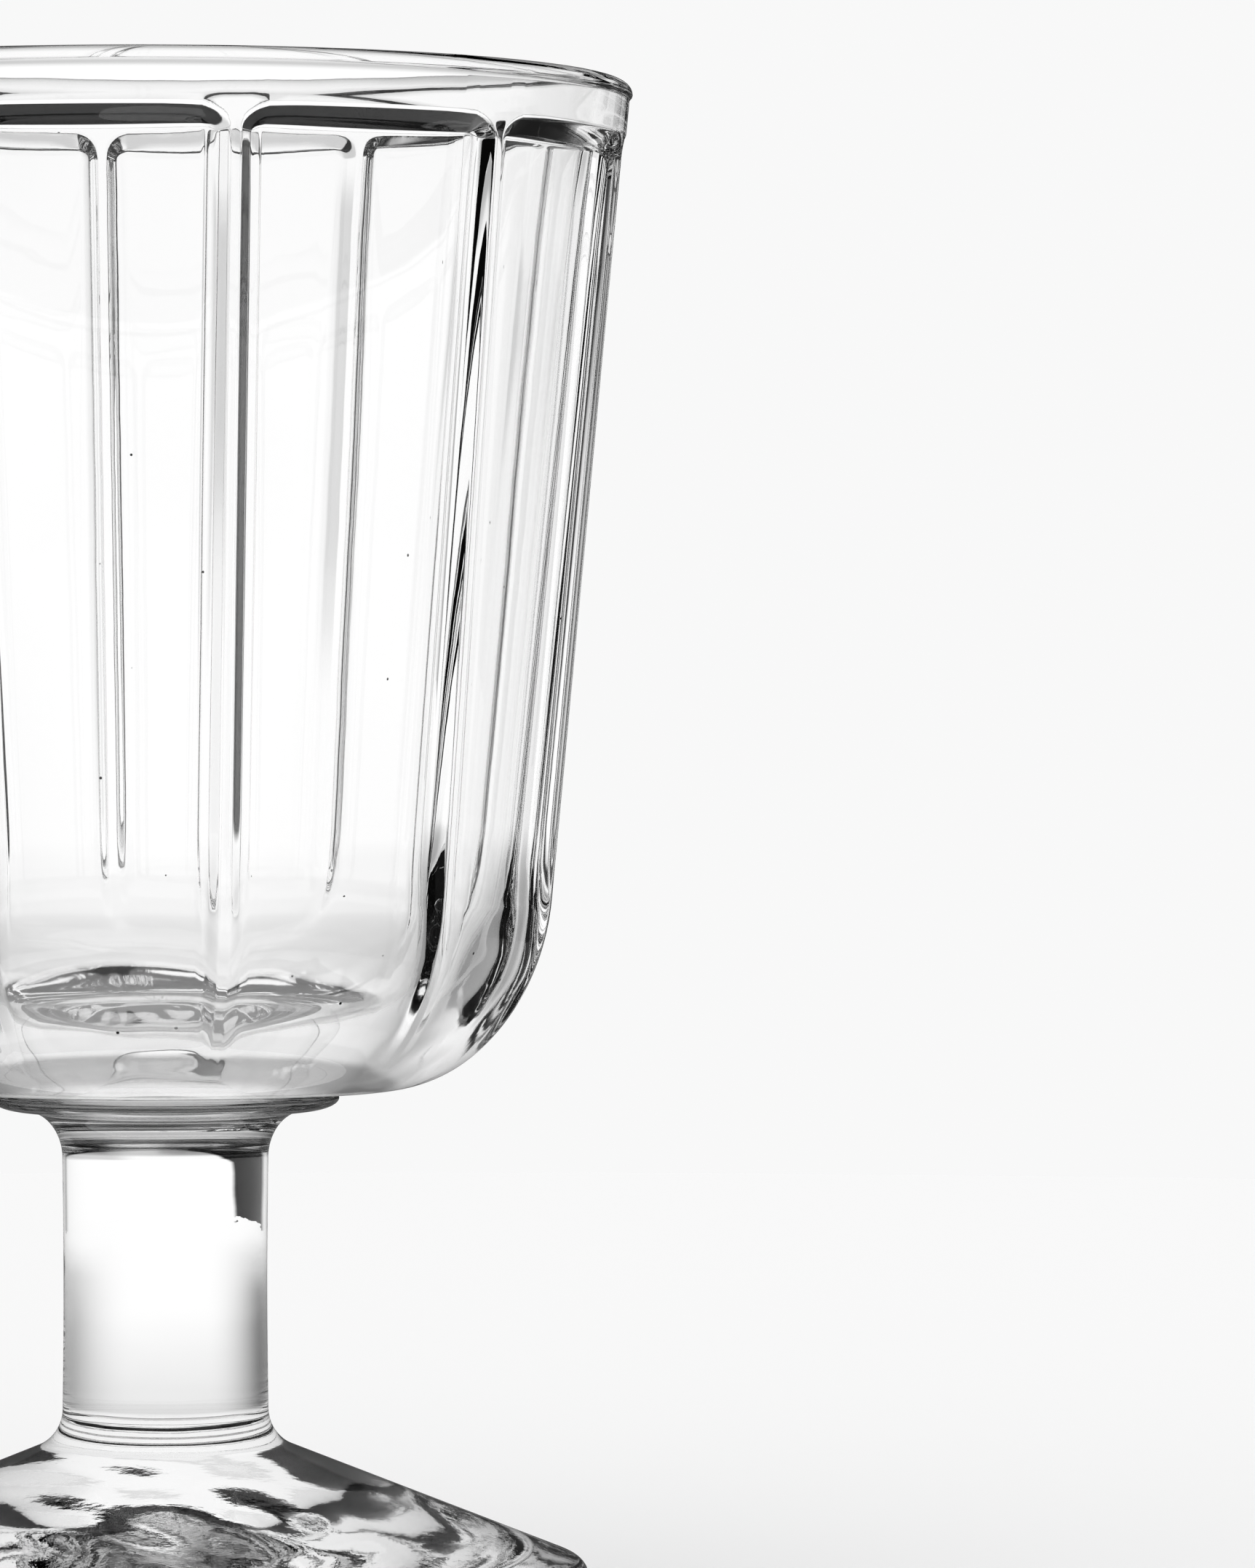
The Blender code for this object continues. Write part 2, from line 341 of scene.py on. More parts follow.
def side_radius(z):
    """Radius of the plain cone, with the bead at the lip."""
    bead = blend((z - BEAD_START) / (BEAD_END - BEAD_START))
    return SIDE_BOTTOM_RADIUS + SIDE_TAPER * (z - SIDE_BOTTOM) + BEAD_RISE * bead


bead_heights = np.linspace(lip_height, BEAD_START - BEAD_MARGIN, BEAD_ROWS)[:-1]
band_heights = np.linspace(BEAD_START - BEAD_MARGIN, ARCH_TOP + ARCH_MARGIN, BAND_ROWS)[:-1]
shoulder_heights = np.linspace(ARCH_TOP + ARCH_MARGIN, ARCH_TOP - SHOULDER_DEPTH, SHOULDER_ROWS)[:-1]
side_heights = np.linspace(ARCH_TOP - SHOULDER_DEPTH, SIDE_BOTTOM, SIDE_ROWS)
heights = np.concatenate([bead_heights, band_heights, shoulder_heights, side_heights])[:, None]
crests = side_radius(heights)
upper_radius = crests - fluted(crests, heights)

turns = np.linspace(0.0, math.pi / 2, CORNER_ROWS)[1:, None]
corner_heights = SIDE_BOTTOM - (SIDE_BOTTOM - bowl_bottom) * np.sin(turns)
corner_crests = side_radius(corner_heights) - CORNER_REACH * (1 - np.cos(turns))
corner_radius = corner_crests - fluted(corner_crests, corner_heights)

outside_radius = np.concatenate([upper_radius, corner_radius])[::-1]
outside_height = np.concatenate([heights, corner_heights])[::-1]
lip_width = 2 * outside_radius.max() * MILLIMETRES
print(f"bowl outside: {len(outside_radius)} rings, {lip_width:.1f} mm across the lip")

# %% [markdown]
# ## The bowl: its lip and inside
# A smooth plunger forms the inside, so it is plain and round. It follows the outside down to a thick
# floor with a large round corner, and flares a little towards the lip. The lip is half round and joins
# the two.

# %% Inside of the bowl
FLOOR_HEIGHT = 0.0512
INSIDE_CORNER_TOP = 0.0655
INSIDE_CORNER_RADIUS = 0.0318
INSIDE_TAPER = 0.1066
INSIDE_FLARE = 0.0010
INSIDE_FLARE_START = 0.1250
INSIDE_CORNER_REACH = 0.0170
LIP_ROWS = 15
INSIDE_ROWS = 14
INSIDE_CORNER_ROWS = 58
FLOOR_ROWS = 9


def inside_radius(z):
    """Radius of the plain inside above the floor corner."""
    flare = np.maximum(z - INSIDE_FLARE_START, 0.0) / (lip_height - INSIDE_FLARE_START)
    return INSIDE_CORNER_RADIUS + INSIDE_TAPER * (z - INSIDE_CORNER_TOP) + INSIDE_FLARE * flare * flare


lip_outer = side_radius(lip_height)
lip_inner = inside_radius(lip_height)
over_lip = np.linspace(0.0, math.pi, LIP_ROWS)[1:, None]
lip_out = (lip_outer + lip_inner) / 2 + (lip_outer - lip_inner) / 2 * np.cos(over_lip)
lip_up = lip_height + LIP_RADIUS * np.sin(over_lip)
inner_heights = np.linspace(lip_height, INSIDE_CORNER_TOP, INSIDE_ROWS)[1:, None]
inner_turns = np.linspace(0.0, math.pi / 2, INSIDE_CORNER_ROWS)[1:, None]
floor_corner_heights = INSIDE_CORNER_TOP - (INSIDE_CORNER_TOP - FLOOR_HEIGHT) * np.sin(inner_turns)
floor_corner_radius = inside_radius(floor_corner_heights) - INSIDE_CORNER_REACH * (1 - np.cos(inner_turns))
floor_radius = floor_corner_radius[-1, 0] * np.linspace(1.0, 0.0, FLOOR_ROWS)[1:-1, None]
floor_heights = np.full_like(floor_radius, FLOOR_HEIGHT)

inside_out = np.concatenate([lip_out, inside_radius(inner_heights), floor_corner_radius, floor_radius])
inside_up = np.concatenate([lip_up, inner_heights, floor_corner_heights, floor_heights])
floor_thickness = (FLOOR_HEIGHT - bowl_bottom) * MILLIMETRES
print(f"bowl inside: {len(inside_out)} rings, floor {floor_thickness:.1f} mm thick at its rim")

# %% [markdown]
# ## The bowl: put together
# The underside rises a little towards its middle, which is flat where the collar is welded to it. The
# waves then move the points by about a hundredth of a millimetre: slow ones on the panels, and short ones
# on the floor and its corner, where the hot glass drops first and chills unevenly. These show as ripples
# low in the bowl. The outer corner stays true, because waves there as well would break the light up into
# glitter.

# %% Bowl body
WELD_RADIUS = 0.0110
WELD_HEIGHT = 0.0490
UNDER_WELD_ROWS = 4
DOME_ROWS = 8
PANEL_WAVE_START = 0.0700
PANEL_WAVE_FADE = 0.0200
PANEL_WAVE_LENGTH = 0.0240
PANEL_WAVE_DEPTH = 0.000012
PANEL_WAVE_SEED = 5
FLOOR_WAVE_TOP = 0.0605
FLOOR_WAVE_LENGTH = 0.0090
FLOOR_WAVE_SQUEEZE = (1.8, 1.8, 5.0)
FLOOR_WAVE_DEPTH = 0.000013
FLOOR_WAVE_SEED = 7

dome_edge = corner_radius[-1, 0]
under_radius = np.concatenate([
    np.linspace(0.0, WELD_RADIUS, UNDER_WELD_ROWS)[1:],
    np.linspace(WELD_RADIUS, dome_edge, DOME_ROWS)[1:-1],
])[:, None]
down_dome = np.clip((under_radius - WELD_RADIUS) / (dome_edge - WELD_RADIUS), 0.0, 1.0)
under_height = WELD_HEIGHT + (bowl_bottom - WELD_HEIGHT) * down_dome
underside = around(under_radius, under_height, column_angle)
outside = around(outside_radius, outside_height, column_angle)
inside = around(inside_out, inside_up, column_angle)

below_arch = blend((ARCH_TOP - outside[..., 2]) / PANEL_WAVE_FADE)
above_corner = blend((outside[..., 2] - PANEL_WAVE_START) / PANEL_WAVE_FADE)
panel_wave = waves(outside, PANEL_WAVE_LENGTH, PANEL_WAVE_SEED)
outside = moved_out(outside, panel_wave * below_arch * above_corner * PANEL_WAVE_DEPTH)

floor_low = blend((FLOOR_WAVE_TOP - inside[..., 2]) / (FLOOR_WAVE_TOP - FLOOR_HEIGHT))
floor_wave = waves(inside, FLOOR_WAVE_LENGTH, FLOOR_WAVE_SEED, FLOOR_WAVE_SQUEEZE)
floor_roll = floor_wave * floor_low * FLOOR_WAVE_DEPTH
inside = moved_out(inside, -floor_roll)
inside[..., 2] += floor_roll

bowl = closed_body(
    "fluted_bowl",
    np.concatenate([underside, outside, inside]),
    welds=[(WELD_HEIGHT, WELD_RADIUS)],
)

# %% [markdown]
# ## The turned pieces: collar, stem and foot
# These have no flutes, so each is one outline turned round the axis. An outline lists (radius, height)
# from the middle of the underside, out and up, to the middle of the top. Round stretches are arcs. The
# frame keeps a hair's gap at each weld. Here each outline reaches its neighbour, so that the glass is
# whole.

# %% Outlines and turning
TURNED_COLUMNS = 144
CAP_STEPS = 3
OUTWARD = 0
UPWARD = 90
INWARD = 180
DOWNWARD = -90

turned_angle = np.arange(TURNED_COLUMNS) * 2 * math.pi / TURNED_COLUMNS
print(f"turned pieces: {TURNED_COLUMNS} columns")


def arc(centre, radii, start, end, count):
    """Points on an elliptical arc, between two angles in degrees measured from straight out."""
    angle = np.radians(np.linspace(start, end, count))
    return np.stack([centre[0] + radii[0] * np.cos(angle), centre[1] + radii[1] * np.sin(angle)], axis=-1)


def line(start, end, count):
    """Points on a straight line, without its first point."""
    return np.linspace(start, end, count + 1)[1:]


def turned(outline):
    """Rings of an outline of (radius, height)."""
    return around(outline[:, :1], outline[:, 1:], turned_angle)


# %% [markdown]
# ## The collar
# The stem is pressed on to the bowl while both are soft, and a disc of glass squeezes out between them.
# Its top is a low crown that touches the bowl only in the middle, and its underside curls in to the stem.

# %% Collar
STEM_FLARE_RADIUS = 0.0133
COLLAR_EDGE_HEIGHT = 0.0472
COLLAR_CROWN_RADIUS = 0.0060
COLLAR_LOWER_STEPS = 14
COLLAR_UPPER_STEPS = 18

collar_low, collar_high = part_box("collar")
collar_bottom = float(collar_low[2])
collar_edge = float(collar_high[0])
lower_centre = (STEM_FLARE_RADIUS, COLLAR_EDGE_HEIGHT)
lower_radii = (collar_edge - STEM_FLARE_RADIUS, COLLAR_EDGE_HEIGHT - collar_bottom)
upper_centre = (COLLAR_CROWN_RADIUS, COLLAR_EDGE_HEIGHT)
upper_width = collar_edge - COLLAR_CROWN_RADIUS
weld_turn = math.acos((WELD_RADIUS - COLLAR_CROWN_RADIUS) / upper_width)
upper_radii = (upper_width, (WELD_HEIGHT - COLLAR_EDGE_HEIGHT) / math.sin(weld_turn))
lower_edge = arc(lower_centre, lower_radii, DOWNWARD, OUTWARD, COLLAR_LOWER_STEPS)
upper_edge = arc(upper_centre, upper_radii, OUTWARD, math.degrees(weld_turn), COLLAR_UPPER_STEPS)
collar_outline = np.concatenate([
    line((0.0, collar_bottom), (STEM_FLARE_RADIUS, collar_bottom), CAP_STEPS)[:-1],
    lower_edge,
    upper_edge[1:],
    line((WELD_RADIUS, WELD_HEIGHT), (0.0, WELD_HEIGHT), CAP_STEPS)[:-1],
])
collar = closed_body(
    "squeezed_collar",
    turned(collar_outline),
    welds=[(collar_bottom, STEM_FLARE_RADIUS), (WELD_HEIGHT, WELD_RADIUS)],
)

# %% [markdown]
# ## The stem
# A short thick rod, drawn in by a hair at its middle. At the top it sweeps out in a hollow curve to meet
# the collar.

# %% Stem
STEM_RADIUS = 0.0097
STEM_WAIST = 0.0001
STEM_FLARE_START = 0.0415
ROD_STEPS = 26
SWEEP_STEPS = 24

_, foot_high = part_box("foot")
foot_top = float(foot_high[2])
along = np.linspace(0.0, 1.0, ROD_STEPS)[:, None]
rod = np.concatenate([
    STEM_RADIUS - STEM_WAIST * np.sin(math.pi * along),
    foot_top + (STEM_FLARE_START - foot_top) * along,
], axis=1)
sweep_radii = (STEM_FLARE_RADIUS - STEM_RADIUS, collar_bottom - STEM_FLARE_START)
sweep = arc((STEM_FLARE_RADIUS, STEM_FLARE_START), sweep_radii, INWARD, UPWARD, SWEEP_STEPS)
stem_outline = np.concatenate([
    line((0.0, foot_top), (STEM_RADIUS, foot_top), CAP_STEPS)[:-1],
    rod,
    sweep[1:],
    line((STEM_FLARE_RADIUS, collar_bottom), (0.0, collar_bottom), CAP_STEPS)[:-1],
])
stem = closed_body(
    "drawn_stem",
    turned(stem_outline),
    welds=[(foot_top, STEM_FLARE_RADIUS), (collar_bottom, STEM_FLARE_RADIUS)],
)

# %% [markdown]
# ## The foot
# A spreading cone with a hollow fillet up to the stem and a rounded edge. Underneath, a flat ring stands
# on the table and the middle is a shallow hollow, so that the glass doesn't rock. The hollow is a little
# wavy. Seen through the foot, these waves break the studio up into the ragged dark patches of such a
# foot.

# %% Foot
FOOT_EDGE_RADIUS = 0.00185
FOOT_SLOPE = 21.9
FOOT_FILLET = 0.0039
RESTING_RING_INNER = 0.0330
FOOT_HOLLOW = 0.0022
FOOT_WAVE_LENGTH = 0.0100
FOOT_WAVE_DEPTH = 0.00016
FOOT_WAVE_SEED = 11
HOLLOW_STEPS = 26
FOOT_EDGE_STEPS = 18
FILLET_STEPS = 16
CONE_STEPS = 22

foot_radius = float(foot_high[0])
edge_centre = (foot_radius - FOOT_EDGE_RADIUS, FOOT_EDGE_RADIUS)
edge_radii = (FOOT_EDGE_RADIUS, FOOT_EDGE_RADIUS)
fillet_centre = (STEM_RADIUS + FOOT_FILLET, foot_top)
fillet_radii = (FOOT_FILLET, FOOT_FILLET)
fillet_start = INWARD + UPWARD - FOOT_SLOPE
foot_hollow = arc((0.0, 0.0), (RESTING_RING_INNER, FOOT_HOLLOW), UPWARD, OUTWARD, HOLLOW_STEPS)[1:]
foot_edge = arc(edge_centre, edge_radii, DOWNWARD, UPWARD - FOOT_SLOPE, FOOT_EDGE_STEPS)
foot_fillet = arc(fillet_centre, fillet_radii, fillet_start, INWARD, FILLET_STEPS)
foot_cone = line(foot_edge[-1], foot_fillet[0], CONE_STEPS)[:-1]
foot_outline = np.concatenate([
    foot_hollow,
    foot_edge,
    foot_cone,
    foot_fillet,
    line((STEM_RADIUS, foot_top), (0.0, foot_top), CAP_STEPS)[:-1],
])
foot_rings = turned(foot_outline)
hollow_rings = foot_rings[:len(foot_hollow) - 1]
hollow_wave = waves(hollow_rings, FOOT_WAVE_LENGTH, FOOT_WAVE_SEED) * FOOT_WAVE_DEPTH
hollow_rings[..., 2] += hollow_wave * blend(hollow_rings[..., 2] / FOOT_HOLLOW)
foot = closed_body("spreading_foot", foot_rings, welds=[(foot_top, STEM_FLARE_RADIUS)])

# %% [markdown]
# ## Helpers for shader nodes
# The materials, the table and the studio are all built from a few kinds of node, so each kind has a
# helper. A socket takes either a plain number or a link, and one helper deals with both.

# %% Node helpers
def feed(tree, value, socket):
    """Set a socket to a plain number, or link it to another socket."""
    if isinstance(value, (int, float)):
        socket.default_value = value
    else:
        tree.links.new(value, socket)


def calculate(tree, operation, *values):
    """A Math node fed by sockets or plain numbers."""
    node = tree.nodes.new("ShaderNodeMath")
    node.operation = operation
    for slot, value in zip(node.inputs, values):
        feed(tree, value, slot)
    return node.outputs[0]


def ramp(tree, value, start, end, low=0.0, high=1.0):
    """A smooth Map Range node from low at start to high at end."""
    node = tree.nodes.new("ShaderNodeMapRange")
    node.interpolation_type = "SMOOTHSTEP"
    tree.links.new(value, node.inputs["Value"])
    for label, number in (("From Min", start), ("From Max", end), ("To Min", low), ("To Max", high)):
        feed(tree, number, node.inputs[label])
    return node.outputs["Result"]


def own_place(tree):
    """The socket that holds a point's place in the piece's own metres."""
    return tree.nodes.new("ShaderNodeTexCoord").outputs["Object"]


def split(tree, vector):
    """The X, Y and Z sockets of a vector."""
    node = tree.nodes.new("ShaderNodeSeparateXYZ")
    tree.links.new(vector, node.inputs["Vector"])
    return node.outputs


def noise(tree, scale, detail):
    """A Noise Texture in the piece's own metres."""
    node = tree.nodes.new("ShaderNodeTexNoise")
    node.inputs["Detail"].default_value = detail
    tree.links.new(own_place(tree), node.inputs["Vector"])
    feed(tree, scale, node.inputs["Scale"])
    return node.outputs["Fac"]


# %% [markdown]
# ## What every glass shares
# Clear glass is a Principled BSDF with full transmission and an index of refraction of 1.52. Even so, a
# single flat value would look like a drawing of glass. Two effects are shared by every piece, so each is
# a node group with inputs of its own. The first is the skin: a fine ripple left by the mould and the fire
# polish, read as a height by a Bump node.

# %% Skin group
SLOW_DETAIL = 1.0
FINE_DETAIL = 2.0
FINE_RATIO = 6.0
FINE_SHARE = 0.03


def new_group(name, inputs, outputs):
    """An empty shader group with float inputs (name, default) and outputs (name, socket type)."""
    group = bpy.data.node_groups.new(name, "ShaderNodeTree")
    for label, default in inputs:
        socket = group.interface.new_socket(label, in_out="INPUT", socket_type="NodeSocketFloat")
        socket.default_value = default
    for label, kind in outputs:
        group.interface.new_socket(label, in_out="OUTPUT", socket_type=kind)
    entry = group.nodes.new("NodeGroupInput")
    leave = group.nodes.new("NodeGroupOutput")
    return group, entry.outputs, leave.inputs


skin, skin_in, skin_out = new_group("pressed skin", [("Scale", 120.0)], [("Height", "NodeSocketFloat")])
slow = noise(skin, skin_in["Scale"], SLOW_DETAIL)
fine = noise(skin, calculate(skin, "MULTIPLY", skin_in["Scale"], FINE_RATIO), FINE_DETAIL)
skin.links.new(calculate(skin, "MULTIPLY_ADD", fine, FINE_SHARE, slow), skin_out["Height"])
print("shader group:", skin.name)

# %% [markdown]
# The second effect is what the glass holds and what lies on it: a few dark specks, a faint cloud in the
# clarity, and smears that dull the gloss in patches. Its Clear input sets the light the glass keeps; the
# collar's low value there is painted shade. Cells of a Voronoi texture place the specks, and noise the
# rest.

# %% Clarity group
SPECK_SPACING = 110.0
SPECK_EDGE = 1.5
CLOUD_SCALE = 60.0
CLOUD_DETAIL = 3.0
SMEAR_SCALE = 45.0
SMEAR_DETAIL = 4.0
SMEAR_RANGE = (0.55, 0.75)

clarity, clarity_in, clarity_out = new_group(
    "specks, smears and painted shade",
    [("Speck Size", 0.014), ("Clear", 1.0), ("Cloud", 0.02), ("Smear", 0.03)],
    [("Tint", "NodeSocketColor"), ("Roughness", "NodeSocketFloat")],
)
cells = clarity.nodes.new("ShaderNodeTexVoronoi")
cells.inputs["Scale"].default_value = SPECK_SPACING
clarity.links.new(own_place(clarity), cells.inputs["Vector"])
speck_edge = calculate(clarity, "MULTIPLY", clarity_in["Speck Size"], SPECK_EDGE)
clear_of_specks = ramp(clarity, cells.outputs["Distance"], clarity_in["Speck Size"], speck_edge)
cloud = calculate(clarity, "MULTIPLY", noise(clarity, CLOUD_SCALE, CLOUD_DETAIL), clarity_in["Cloud"])
# A Clear below 1, as on the collar, is painted shade.
light_kept = calculate(clarity, "SUBTRACT", clarity_in["Clear"], cloud)
clarity.links.new(calculate(clarity, "MULTIPLY", clear_of_specks, light_kept), clarity_out["Tint"])
smear = ramp(clarity, noise(clarity, SMEAR_SCALE, SMEAR_DETAIL), *SMEAR_RANGE)
clarity.links.new(calculate(clarity, "MULTIPLY", smear, clarity_in["Smear"]), clarity_out["Roughness"])
print("shader group:", clarity.name)

# %% [markdown]
# ## What only one glass has
# Some marks sit at a certain height of one piece, so they are described by their lowest and highest
# height. Painted shade darkens the tint of the glass: in patches where noise passes its threshold, or all
# over where the threshold lies below any noise. It paints the shade of the dark line and edge of the lip,
# of the dark underside of the bowl and of the stem's flare. A mark roughens the bump, such as the cloudy
# mould mark behind the arches. Dull glass scatters light a little, which calms the corner of the bowl.

# %% Masks by height and place
RADIUS_EDGE = 0.0004
BACK_EDGE = 0.01
ALL_OVER = -1.0
ALL_ROUND = -1.0

# Painted shade: a band of darker tint at given heights of one piece.
ShadeBand = namedtuple("ShadeBand", "low high edge radius grain threshold amount")
Mark = namedtuple("Mark", "low high edge grain back share")
Dull = namedtuple("Dull", "low high edge amount")


def height_band(tree, band):
    """1 between the two heights of a band and 0 outside them, with soft edges."""
    height = split(tree, own_place(tree))["Z"]
    above = ramp(tree, height, band.low - band.edge, band.low + band.edge)
    below = ramp(tree, height, band.high - band.edge, band.high + band.edge, 1.0, 0.0)
    return calculate(tree, "MULTIPLY", above, below)


def outside_of(tree, radius):
    """1 outside a given radius of the piece and 0 inside it."""
    place = split(tree, own_place(tree))
    squares = calculate(tree, "MULTIPLY", place["Y"], place["Y"])
    squares = calculate(tree, "MULTIPLY_ADD", place["X"], place["X"], squares)
    return ramp(tree, calculate(tree, "SQRT", squares), radius - RADIUS_EDGE, radius + RADIUS_EDGE)


def from_behind(tree, start):
    """1 behind a given y of the piece and 0 in front of it."""
    return ramp(tree, split(tree, own_place(tree))["Y"], start - BACK_EDGE, start + BACK_EDGE)


# %% [markdown]
# ## A glass for each piece
# One function makes all four materials, so that they share the two groups and differ only in their
# values. It adds the painted shade to the tint, the dull band to the roughness and the marks to the
# height. The constant values are set on the shader's own sockets.

# %% Glass maker
GLASS_INDEX = 1.52
PATCH_EDGE = 0.08
PATCH_DETAIL = 3.0


def with_painted_shade(tree, tint, shade_band):
    """Darken a tint by one band of painted shade."""
    grain = noise(tree, shade_band.grain, PATCH_DETAIL)
    patches = ramp(tree, grain, shade_band.threshold - PATCH_EDGE, shade_band.threshold + PATCH_EDGE)
    shade_mask = calculate(tree, "MULTIPLY", patches, height_band(tree, shade_band))
    shade_mask = calculate(tree, "MULTIPLY", shade_mask, outside_of(tree, shade_band.radius))
    faded = tree.nodes.new("ShaderNodeVectorMath")
    faded.operation = "SCALE"
    tree.links.new(tint, faded.inputs[0])
    tree.links.new(calculate(tree, "MULTIPLY_ADD", shade_mask, -shade_band.amount, 1.0), faded.inputs["Scale"])
    return faded.outputs["Vector"]


def marked(tree, height, mark):
    """Add one band of marks to the height of the skin."""
    grain = calculate(tree, "MULTIPLY", noise(tree, mark.grain, PATCH_DETAIL), height_band(tree, mark))
    grain = calculate(tree, "MULTIPLY", grain, from_behind(tree, mark.back))
    return calculate(tree, "MULTIPLY_ADD", grain, mark.share, height)


def glass(name, scale, depth, clear, cloud, smear, marks=(), shade_bands=(), dull=None):
    """Clear pressed glass with its own skin and clarity, marks, painted shade and dullness at given
    heights.
    """
    material = bpy.data.materials.new(name)
    material.use_nodes = True
    tree = material.node_tree
    shader = tree.nodes["Principled BSDF"]
    shader.inputs["Metallic"].default_value = 0.0
    shader.inputs["IOR"].default_value = GLASS_INDEX
    shader.inputs["Transmission Weight"].default_value = 1.0
    finish = tree.nodes.new("ShaderNodeGroup")
    finish.node_tree = clarity
    finish.inputs["Clear"].default_value = clear
    finish.inputs["Cloud"].default_value = cloud
    finish.inputs["Smear"].default_value = smear
    tint = finish.outputs["Tint"]
    # Painted shade darkens the tint.
    for shade_band in shade_bands:
        tint = with_painted_shade(tree, tint, shade_band)
    tree.links.new(tint, shader.inputs["Base Color"])
    roughness = finish.outputs["Roughness"]
    if dull:
        roughness = calculate(tree, "MULTIPLY_ADD", height_band(tree, dull), dull.amount, roughness)
    tree.links.new(roughness, shader.inputs["Roughness"])
    surface = tree.nodes.new("ShaderNodeGroup")
    surface.node_tree = skin
    surface.inputs["Scale"].default_value = scale
    height = surface.outputs["Height"]
    for mark in marks:
        height = marked(tree, height, mark)
    bump = tree.nodes.new("ShaderNodeBump")
    bump.inputs["Distance"].default_value = depth
    tree.links.new(height, bump.inputs["Height"])
    tree.links.new(bump.outputs["Normal"], shader.inputs["Normal"])
    return material


# %% [markdown]
# ## The bowl's glass
# The bowl has the faintest skin. It carries painted shade on its underside and as the dark line and edge
# of the lip, the cloudy mould mark behind the arches and a dull corner.

# %% Glass of the bowl
# Painted shade: the dark underside of the bowl, and the dark line and edge of the lip.
underside_painted_shade = ShadeBand(
    low=0.0470, high=0.0482, edge=0.0001, radius=0.0, grain=300.0, threshold=0.30, amount=0.72
)
lip_painted_shade_line = ShadeBand(
    low=0.14115, high=0.14165, edge=0.00025, radius=0.0425, grain=200.0, threshold=ALL_OVER, amount=0.60
)
lip_painted_shade_edge = ShadeBand(
    low=0.14265, high=0.14400, edge=0.00025, radius=0.0425, grain=200.0, threshold=ALL_OVER, amount=0.55
)
mould_cloud = Mark(low=0.1372, high=0.1405, edge=0.0006, grain=700.0, back=0.02, share=4.0)
dull_corner = Dull(low=0.0400, high=0.0620, edge=0.0030, amount=0.025)
bowl_glass = glass(
    "bowl_glass", scale=130.0, depth=0.00001, clear=1.0, cloud=0.02, smear=0.02,
    marks=[mould_cloud], shade_bands=[underside_painted_shade, lip_painted_shade_line, lip_painted_shade_edge], dull=dull_corner,
)
print("glass:", bowl_glass.name)

# %% [markdown]
# ## The glass of collar, stem and foot
# These have a deeper skin than the bowl. The collar also keeps much less light: its darker tint is painted
# shade, which makes it the dark disc between bowl and stem. Painted shade darkens the stem's flare in
# patches, and a fine grain roughens the hollow under the foot.

# %% Glass of collar, stem and foot
# Painted shade in patches on the stem's flare.
flare_painted_shade = ShadeBand(
    low=0.0424, high=0.0438, edge=0.0003, radius=0.0, grain=120.0, threshold=0.50, amount=0.75
)
hollow_skin = Mark(low=-0.0010, high=0.0030, edge=0.0002, grain=900.0, back=ALL_ROUND, share=0.5)
# The collar's low Clear and stronger cloud are painted shade.
collar_glass = glass("collar_glass", scale=260.0, depth=0.00003, clear=0.42, cloud=0.15, smear=0.02)
stem_glass = glass(
    "stem_glass", scale=140.0, depth=0.00004, clear=1.0, cloud=0.03, smear=0.02, shade_bands=[flare_painted_shade]
)
foot_glass = glass(
    "foot_glass", scale=220.0, depth=0.00003, clear=1.0, cloud=0.03, smear=0.03, marks=[hollow_skin]
)
print("glass:", collar_glass.name, stem_glass.name, foot_glass.name)

# %% [markdown]
# ## Pieces on the frame
# Each piece gets its glass, then the material of its welds. It rides on the only body and stands for its
# node of the frame, which is hidden.

# %% Hang the pieces
finishes = [
    # The bowl's weld takes the nearly black sheet of painted shade.
    (bowl, "bowl", bowl_glass, painted_shade_weld),
    (collar, "collar", collar_glass, clear_weld),
    (stem, "stem", stem_glass, clear_weld),
    (foot, "foot", foot_glass, clear_weld),
]
for piece, node, material, contact in finishes:
    piece.data.materials.append(material)
    piece.data.materials.append(contact)
    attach(piece, "root")
    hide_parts(node)
print("pieces:", [piece.name for piece, _, _, _ in finishes])

# %% [markdown]
# ## The table
# A wide round sheet of pale paper just under the foot. It is as pale as the backdrop, so that no horizon
# shows.

# %% Table
TABLE_RADIUS = 0.65
TABLE_SIDES = 128
TABLE_DROP = 0.0002
PAPER_COLOUR = (0.94, 0.94, 0.94, 1.0)
PAPER_ROUGHNESS = 0.9

table_mesh = bpy.data.meshes.new("table")
table_turns = [2 * math.pi * side / TABLE_SIDES for side in range(TABLE_SIDES)]
table_edge = [(TABLE_RADIUS * math.cos(turn), TABLE_RADIUS * math.sin(turn), 0.0) for turn in table_turns]
table_mesh.from_pydata(table_edge, [], [range(TABLE_SIDES)])
table = bpy.data.objects.new("table", table_mesh)
bpy.context.collection.objects.link(table)
table.location.z = -TABLE_DROP
paper = bpy.data.materials.new("paper")
paper.use_nodes = True
sheet = paper.node_tree
paper_shader = sheet.nodes["Principled BSDF"]
paper_shader.inputs["Base Color"].default_value = PAPER_COLOUR
paper_shader.inputs["Roughness"].default_value = PAPER_ROUGHNESS
paper_shader.inputs["Specular IOR Level"].default_value = 0.0
table_mesh.materials.append(paper)
print(f"table {2 * TABLE_RADIUS} m wide")

# %% [markdown]
# ## The table as the glass shows it
# A table in a studio isn't evenly bright. For rays from the glass the paper glows with painted light: it
# is brightest far out, near the white walls, and right under the glass. In between it is a little darker,
# and darker still on both sides, in painted shadows of black cards, called flags, that stand nowhere in
# the scene. The camera sees plain paper with the shadow of the glass. What the glass bends into view is
# this painted glow.

